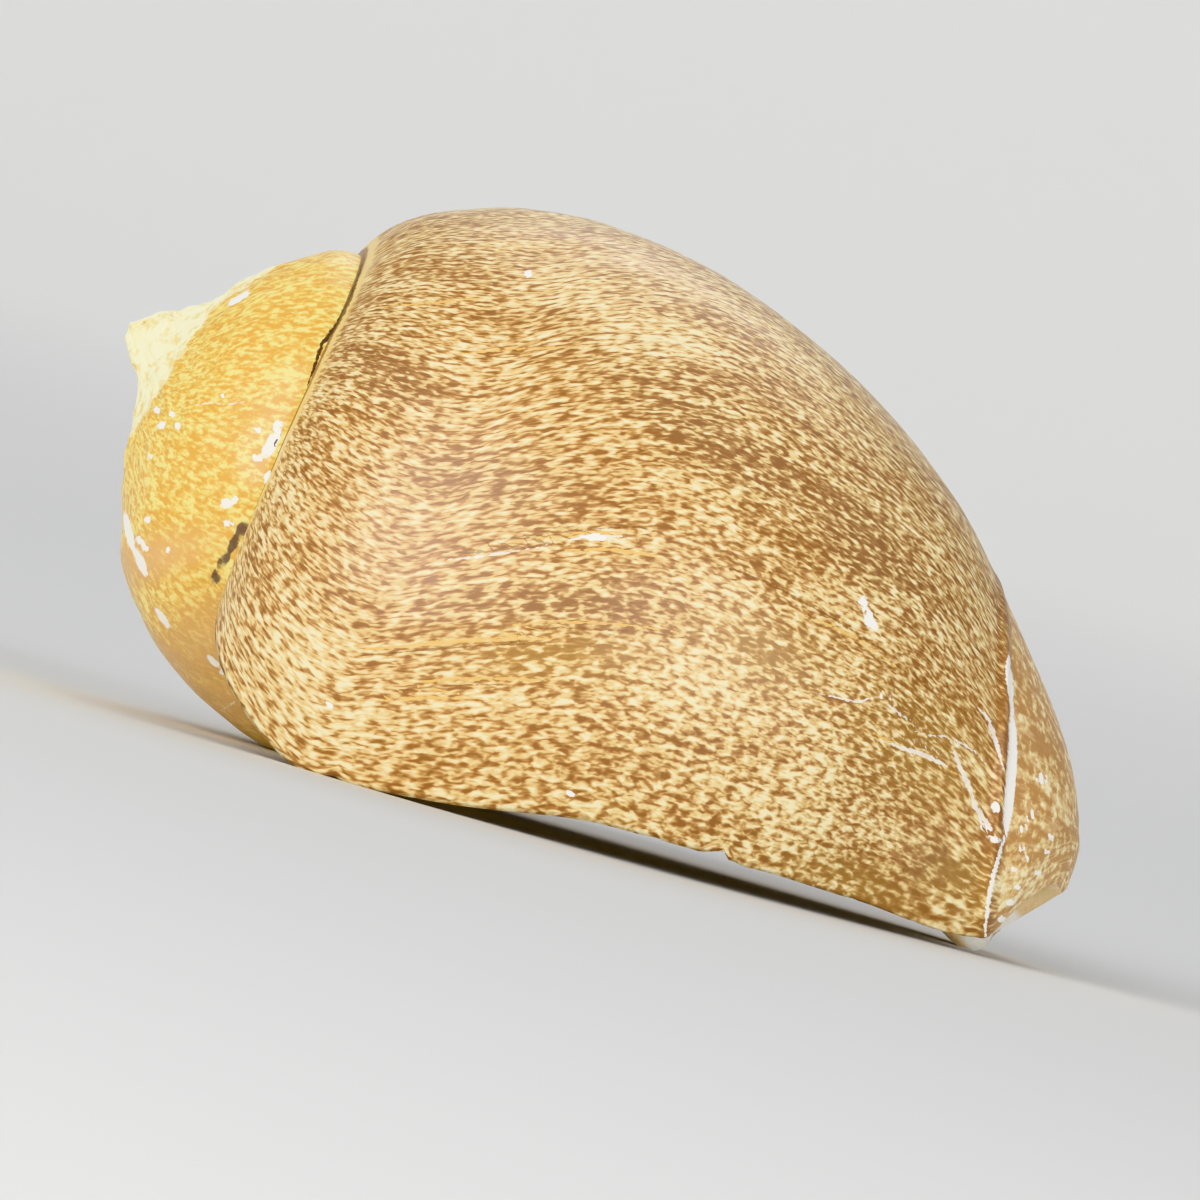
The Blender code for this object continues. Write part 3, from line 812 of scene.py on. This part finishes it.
def outer_skin(shell):
    """The scroll's outside. Returns the mouth's edge, from the suture round by the lip."""
    smooth, grown, coordinates = skin_grid()
    wander = PARIETAL_WANDER * ripple(coordinates[..., 1] / PARIETAL_WAVE, 0.0)
    glaze_end = (PARIETAL_TURN + wander) * COLUMNS
    columns = range(-SPIRE_TURNS * COLUMNS, 1)
    last_row = grown.shape[1] - 1
    apex = shell.add(np.array([0.0, 0.0, APEX_LEAN]), coordinates[0, 0])
    start = shell.add(grown[0, SPIRE_ROWS], coordinates[0, SPIRE_ROWS])
    index = {}
    for k, column in enumerate(columns):
        for row in range(SPIRE_ROWS + 1 if column < -COLUMNS else last_row + 1):
            if row == 0:
                twin = index.get((column - COLUMNS, SPIRE_ROWS), apex)
                index[column, row] = shell.add(shell.points[twin], coordinates[k, row], 0.0, twin)
            elif k == 0:
                index[column, row] = start
            else:
                index[column, row] = shell.add(grown[k, row], coordinates[k, row])
    for k, column in enumerate(columns[:-1]):
        for row in range(SPIRE_ROWS if column < -COLUMNS else last_row):
            shell.kind = CALLUS_KIND if column < glaze_end[k, row] else BODY
            shell.face(index[column, row], index[column + 1, row],
                       index[column + 1, row + 1], index[column, row + 1])
    tip = shell.add(np.array(TIP), coordinates[-1, last_row])
    shell.kind = BODY
    for column in range(-COLUMNS, 0):
        shell.face(index[column + 1, last_row], tip, index[column, last_row])
    lip = [index[0, row] for row in range(last_row + 1)]
    columella = [index[-COLUMNS, row] for row in range(last_row, SPIRE_ROWS, -1)]
    back = smooth[-1 - COLUMNS, last_row:SPIRE_ROWS:-1]
    return lip + [tip] + columella, np.vstack([smooth[-1], [TIP], back])


def mouth_rim(outline):
    """Rings from the mouth's edge over the lip's thickness, the last one set wholly inside."""
    lip_runs = row_runs(np.zeros((1, 1)))
    columella_runs = row_runs(np.full((1, 1), -1.0))[:, :SPIRE_ROWS:-1]
    lip_in = -skin_normal(0.0, lip_runs)[0]
    columella_out = skin_normal(-1.0, columella_runs)[0]
    back = skin(-NORMAL_STEP, lip_runs)[0] - skin(0.0, lip_runs)[0]
    back /= np.linalg.norm(back, axis=1)[:, None]
    nowhere = np.zeros((1, 3))
    across = np.vstack([LIP_THICK * lip_in, nowhere, GLAZE_THICK * columella_out])
    behind = np.vstack([LIP_BEVEL * back, nowhere, np.zeros_like(columella_out)])
    set_in = rounded(outline + across) - outline
    angles = np.linspace(0.0, math.pi / 2, RIM_RINGS + 1)[1:]
    return [set_in * math.sin(angle) + behind * (1.0 - math.cos(angle)) for angle in angles]


def hollow(shell, edge, outline):
    """The rim and the inside of the last whorl, back to a closed end."""
    actual = np.array([shell.points[i] for i in edge])
    steps = mouth_rim(outline)
    inner = outline + steps[-1]
    rings = []
    for step in steps:
        share = len(rings) / (RIM_RINGS - 1)
        rings.append((LIP_THICK * share, actual * (1.0 - share) + outline * share + step))
    for turn in np.linspace(0.0, -HOLLOW_TURNS, HOLLOW_STATIONS)[1:]:
        depth = LIP_THICK - turn * TURN_LENGTH
        rings.append((depth, carried_back(inner, turn)))
    end = -HOLLOW_TURNS - HOLLOW_END
    rings.append((depth, softened(carried_back(inner, end))))
    ring = edge
    shell.kind = ENAMEL_KIND
    for depth, points in rings:
        grown = [shell.growth[i] for i in ring]
        deeper = [shell.add(point, place, depth) for point, place in zip(points, grown)]
        shell.bridge(ring, deeper)
        ring = deeper
    shell.zip_shut(ring)


def add_object(name, data):
    """An object of the data, in the scene."""
    made = bpy.data.objects.new(name, data)
    bpy.context.scene.collection.objects.link(made)
    return made


def add_attribute(mesh, name, values, domain="POINT"):
    """Hand values to the materials: numbers, or rows of three."""
    values = np.asarray(values, np.float32)
    kind, field = ("FLOAT", "value") if values.ndim == 1 else ("FLOAT_VECTOR", "vector")
    mesh.attributes.new(name, kind, domain).data.foreach_set(field, values.ravel())


def mark_skin(mesh, own, normals, outside):
    """Hand the photograph's marks and tones to the materials."""
    pixels = photo_pixels(own)
    seen = ease(0.0, FACING, -normals[:, 1]) * outside
    for name, family in LINES.items():
        field = line_field(pixels, family)
        field[:, 1] *= seen
        add_attribute(mesh, name, field)
    white = spot_field(pixels, WHITE_SPOTS_AND_HIGHLIGHTS) - (1.0 - seen)
    dark = spot_field(pixels, DARK_SPOTS) - (1.0 - seen)
    add_attribute(mesh, "spots", np.stack([white, dark, np.zeros_like(white)], -1))
    tones = [tone_field(pixels, spots) for spots in (CREAM_TONE, BROWN_TONE, OLIVE_TONE)]
    add_attribute(mesh, "tones", np.stack(tones, -1))
    add_attribute(mesh, "orange_tone", tone_field(pixels, ORANGE_TONE))


def lay_down(own):
    """The shell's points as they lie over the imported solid, in millimetres."""
    points = laid(own)
    points[:, 2] -= points[:, 2].min() + REST_WEAR
    points[:, 2] = np.maximum(points[:, 2], 0.0)
    low, high = (np.array(corner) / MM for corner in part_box("shell"))
    middle = (points[:, :2].min(0) + points[:, :2].max(0)) / 2
    points[:, :2] += (low + high)[:2] / 2 - middle
    return points


def build_shell():
    """The fine shell. Returns it with its points in its own frame and as they lie."""
    shell = Skin()
    edge, outline = outer_skin(shell)
    hollow(shell, edge, outline)
    used, welded = np.unique(shell.same_as, return_inverse=True)
    own = np.array(shell.points)[used]
    points = lay_down(own)
    faces = [[int(welded[i]) for i in face] for face in shell.faces]
    mesh = bpy.data.meshes.new("shell_skin")
    mesh.from_pydata((points * MM).tolist(), [], faces)
    normals = np.empty(3 * len(points))
    mesh.vertex_normals.foreach_get("vector", normals)
    normals = normals.reshape(-1, 3) @ laid(np.eye(3)).T
    corners = np.concatenate(shell.faces)
    bumps = apex_bumps(own)
    mesh.vertices.foreach_set("co", ((points + (laid(normals) * bumps[:, None])) * MM).ravel())
    inward = np.array(shell.inward)[used]
    add_attribute(mesh, "growth", np.array(shell.growth)[corners], "CORNER")
    add_attribute(mesh, "own_place", own)
    add_attribute(mesh, "cone_place", cone_place(own))
    add_attribute(mesh, "inward", inward)
    add_attribute(mesh, "girth", np.hypot(own[:, 1], own[:, 2]) / GIRTH)
    mark_skin(mesh, own, normals, inward == 0.0)
    mesh.polygons.foreach_set("material_index", shell.kinds)
    mesh.shade_smooth()
    return add_object("shell_skin", mesh), own, points


def own_to_world(own, points):
    """The move that takes the shell's own frame to the world, in metres."""
    turn = Matrix(laid(np.eye(3)).T.tolist())
    highest = int(np.argmax(points[:, 2]))
    shift = points[highest] - laid(own[highest])
    return Matrix.Translation(Vector(shift * MM)) @ turn.to_4x4()


def photo_camera(to_world):
    """The photograph's camera: square to the coiling axis, far away, with a long lens."""
    dip = math.radians(AXIS_DIP)
    right = Vector((math.cos(dip), 0.0, math.sin(dip)))
    up = Vector((-math.sin(dip), 0.0, math.cos(dip)))
    back = Vector((0.0, -1.0, 0.0))
    across, down = ((PHOTO_PIXELS / 2 - pixel) * PIXEL_SIZE * MM for pixel in APEX_PIXEL)
    data = bpy.data.cameras.new("photo_camera")
    data.sensor_width = SENSOR
    data.lens = SENSOR * CAMERA_DISTANCE / (PHOTO_PIXELS * PIXEL_SIZE * MM)
    data.clip_end = CAMERA_CLIP
    place = Matrix([right, up, back]).transposed().to_4x4()
    place.translation = right * across - up * down + back * CAMERA_DISTANCE
    camera = add_object("photo_camera", data)
    camera.matrix_world = to_world @ place
    bpy.context.scene.camera = camera


def linear(hex_colour):
    """An sRGB hex colour as linear RGBA."""
    parts = [int(hex_colour[i:i + 2], 16) / 255.0 for i in (1, 3, 5)]
    return (*[p / 12.92 if p <= 0.04045 else ((p + 0.055) / 1.055) ** 2.4 for p in parts], 1.0)


def node(tree, kind, output, inputs=(), **settings):
    """Add a node and return one output. An input is a value or the socket that feeds it, and
    they come by name or number, or else in the node's own order."""
    made = tree.nodes.new(kind)
    for name, value in settings.items():
        setattr(made, name, value)
    for name, value in inputs.items() if isinstance(inputs, dict) else enumerate(inputs):
        if isinstance(value, bpy.types.NodeSocket):
            tree.links.new(value, made.inputs[name])
        else:
            made.inputs[name].default_value = value
    return made.outputs[output]


def numbers_of(tree, attribute, names):
    """An attribute's numbers under their names: its only one, or the first of its three."""
    if len(names) == 1:
        return {names[0]: node(tree, "ShaderNodeAttribute", "Fac", attribute_name=attribute)}
    vector = node(tree, "ShaderNodeAttribute", "Vector", attribute_name=attribute)
    separate = node(tree, "ShaderNodeSeparateXYZ", 0, (vector,)).node
    return dict(zip(names, separate.outputs))


def new_surface(name, patterns, *attributes):
    """A material, its tree, and the parts to mix in it: attributes' numbers and patterns."""
    material = bpy.data.materials.new(name)
    material.use_nodes = True
    tree = material.node_tree
    parts = {}
    for attribute in attributes:
        parts.update(numbers_of(tree, attribute, HANDED_ON[attribute]))
    for pattern, (place, cycles, detail, roughness, distortion) in patterns.items():
        vector = node(tree, "ShaderNodeAttribute", "Vector", attribute_name=place)
        scaled = node(tree, "ShaderNodeVectorMath", 0, (vector, cycles), operation="MULTIPLY")
        parts[pattern] = node(tree, "ShaderNodeTexNoise", "Fac",
                              {"Vector": scaled, "Scale": 1.0, "Detail": detail,
                               "Roughness": roughness, "Distortion": distortion})
    return material, tree, parts


def mixed(tree, parts, mix, start=0.0):
    """A sum of the parts that a mix names, each by its weight."""
    total = start
    for name, weight in mix.items():
        total = node(tree, "ShaderNodeMath", 0, (parts[name], weight, total),
                     operation="MULTIPLY_ADD")
    return total


def add_masks(tree, parts, table):
    """Add sums of parts that go softly from 0 to 1 between two edges."""
    for name, (low, high, mix) in table.items():
        parts[name] = node(tree, "ShaderNodeMapRange", 0, (mixed(tree, parts, mix), low, high),
                           interpolation_type="SMOOTHSTEP")


def add_lines(tree, parts, *families):
    """Add masks that are 1 on a family of lines, with an edge broken by the roughness."""
    for family in families:
        line = numbers_of(tree, family, ("signed", "half"))
        line["rough"] = parts["rough"]
        line["distance"] = node(tree, "ShaderNodeMath", 0, (line["signed"],),
                                operation="ABSOLUTE")
        core = node(tree, "ShaderNodeMath", 0, (line["half"], LINE_CORE), operation="MULTIPLY")
        add_masks(tree, line, {family: (line["half"], core, LINE_MIX)})
        parts[family] = line[family]


def add_tip_distance(tree, parts):
    """Add the distance in millimetres from the columella's tip, which is worn white."""
    own = node(tree, "ShaderNodeAttribute", "Vector", attribute_name="own_place")
    parts["tip_distance"] = node(tree, "ShaderNodeVectorMath", "Value", (own, TIP),
                                 operation="DISTANCE")


def paint_surface(tree, parts, ground, paint):
    """Lay colours over the ground colour. One is an sRGB hex, or a part that is itself mixed."""
    colour = linear(ground)
    for mask, above, cover in paint:
        above = parts[above] if above in parts else linear(above)
        share = node(tree, "ShaderNodeMath", 0, (parts[mask], cover), operation="MULTIPLY")
        colour = node(tree, "ShaderNodeMix", 2, {0: share, 6: colour, 7: above},
                      data_type="RGBA")
    tree.links.new(colour, tree.nodes["Principled BSDF"].inputs["Base Color"])


def finish_surface(tree, parts, relief, bump, roughness, dulling, gloss):
    """Give a painted surface its relief, roughness and clear gloss."""
    strength, high = bump
    normal = node(tree, "ShaderNodeBump", 0,
                  {"Strength": strength, "Distance": high * MM,
                   "Height": mixed(tree, parts, relief)})
    principled = tree.nodes["Principled BSDF"]
    tree.links.new(normal, principled.inputs["Normal"])
    tree.links.new(mixed(tree, parts, dulling, roughness), principled.inputs["Roughness"])
    principled.inputs["IOR"].default_value = SHELL_IOR
    for name, value in zip(("Coat Weight", "Coat Roughness", "Coat IOR"), gloss):
        principled.inputs[name].default_value = value


def body_surface():
    """Shell grown line by line at the lip, then varnished: cream flecks strung along the growth
    lines show through brown, under a clear gloss."""
    material, tree, parts = new_surface("grown_body_whorl_varnished", BODY_PATTERNS,
                                        "girth", "growth", "tones", "spots")
    add_masks(tree, parts, BODY_ZONES)
    # the smaller whorls have their own flecks, and so has the band of old notches
    for name, zone, outside, inside in (("body_flecks", "full_size", "narrow_flecks", "flecks"),
                                        ("flecks", "band", "body_flecks", "speckles"),
                                        ("lines", "band", "threads", "old_notches")):
        parts[name] = node(tree, "ShaderNodeMix", 0,
                           {0: parts[zone], 2: parts[outside], 3: parts[inside]})
    parts["paleness"] = mixed(tree, parts, BODY_PALENESS)
    add_masks(tree, parts, BODY_MASKS)
    add_lines(tree, parts, *LINES)
    paint_surface(tree, parts, BROWN, BODY_PAINT)
    finish_surface(tree, parts, BODY_RELIEF, BODY_BUMP, BODY_ROUGHNESS, BODY_DULLING, VARNISH)
    return material


def callus_surface():
    """Callus laid over the spire by the mantle, smooth as glaze and golden, and worn through at
    the apex to dull chalk."""
    material, tree, parts = new_surface("callus_laid_by_mantle", CALLUS_PATTERNS,
                                        "orange_tone", "own_place", "spots")
    above = node(tree, "ShaderNodeMath", 0, (parts["up"], CHALK_HIGH), operation="SUBTRACT")
    parts["raised"] = node(tree, "ShaderNodeMath", 0, (above, 0.0), operation="MAXIMUM")
    parts["paleness"] = mixed(tree, parts, CALLUS_PALENESS)
    add_tip_distance(tree, parts)
    add_masks(tree, parts, CALLUS_MASKS)
    add_lines(tree, parts, "white_line", "dark_line")
    parts["chalk_colour"] = node(
        tree, "ShaderNodeMix", 2,
        {0: parts["pale_crumb"], 6: linear(CHALK_OCHRE), 7: linear(CHALK)}, data_type="RGBA")
    paint_surface(tree, parts, CALLUS, CALLUS_PAINT)
    finish_surface(tree, parts, CALLUS_RELIEF, CALLUS_BUMP, CALLUS_ROUGHNESS, CALLUS_DULLING,
                   GLAZE)
    return material


def enamel_surface():
    """Enamel laid smooth inside the mouth: pale and glossy, with a pinkish brown lip."""
    material, tree, parts = new_surface("mouth_enamel_laid_by_mantle", ENAMEL_PATTERNS,
                                        "growth", "inward")
    add_tip_distance(tree, parts)
    add_masks(tree, parts, ENAMEL_MASKS)
    paint_surface(tree, parts, LIP_BROWN, ENAMEL_PAINT)
    finish_surface(tree, parts, ENAMEL_RELIEF, ENAMEL_BUMP, ENAMEL_ROUGHNESS, ENAMEL_DULLING,
                   GLAZE)
    return material


def paper_surface():
    """Studio paper, pressed matt: plain and pale, with no gloss."""
    material, tree, _ = new_surface("matt_studio_paper", {})
    principled = tree.nodes["Principled BSDF"]
    principled.inputs["Base Color"].default_value = linear(PAPER)
    principled.inputs["Roughness"].default_value = PAPER_ROUGHNESS
    return material


def studio_sweep():
    """Pale paper that lies flat under the shell and curves up behind it."""
    profile = [(-SWEEP_DEPTH, 0.0), (SWEEP_BACK, 0.0)]
    for angle in np.linspace(0.0, math.pi / 2, SWEEP_STEPS)[1:]:
        profile.append((SWEEP_BACK + SWEEP_RADIUS * math.sin(angle),
                        SWEEP_RADIUS * (1.0 - math.cos(angle))))
    profile.append((SWEEP_BACK + SWEEP_RADIUS, SWEEP_HEIGHT))
    points = [(x, y, z) for y, z in profile for x in (-SWEEP_HALF_WIDTH, SWEEP_HALF_WIDTH)]
    faces = [(i, i + 1, i + 3, i + 2) for i in range(0, len(points) - 2, 2)]
    mesh = bpy.data.meshes.new("studio_sweep")
    mesh.from_pydata(points, [], faces)
    mesh.shade_smooth()
    mesh.materials.append(paper_surface())
    sweep = add_object("studio_sweep", mesh)


def studio_lights():
    """Soft round lamps aimed at the shell and at the paper behind it, and even air."""
    for name, place, target, size, power in LAMPS:
        data = bpy.data.lights.new(name, "AREA")
        data.shape = "DISK"
        data.size = size
        data.energy = power
        lamp = add_object(name, data)
        lamp.location = place
        aim = Vector(target) - Vector(place)
        lamp.rotation_euler = aim.to_track_quat("-Z", "Y").to_euler()
    world = bpy.data.worlds.new("studio_air")
    world.use_nodes = True
    background = world.node_tree.nodes["Background"]
    background.inputs["Color"].default_value = linear(AIR)
    background.inputs["Strength"].default_value = AIR_STRENGTH
    bpy.context.scene.world = world


shell_skin, own_points, laid_points = build_shell()
for surface in (body_surface(), callus_surface(), enamel_surface()):
    shell_skin.data.materials.append(surface)
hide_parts("shell")
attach(shell_skin, "root")
photo_camera(own_to_world(own_points, laid_points))
studio_sweep()
studio_lights()
bpy.context.scene.view_settings.view_transform = "Khronos PBR Neutral"
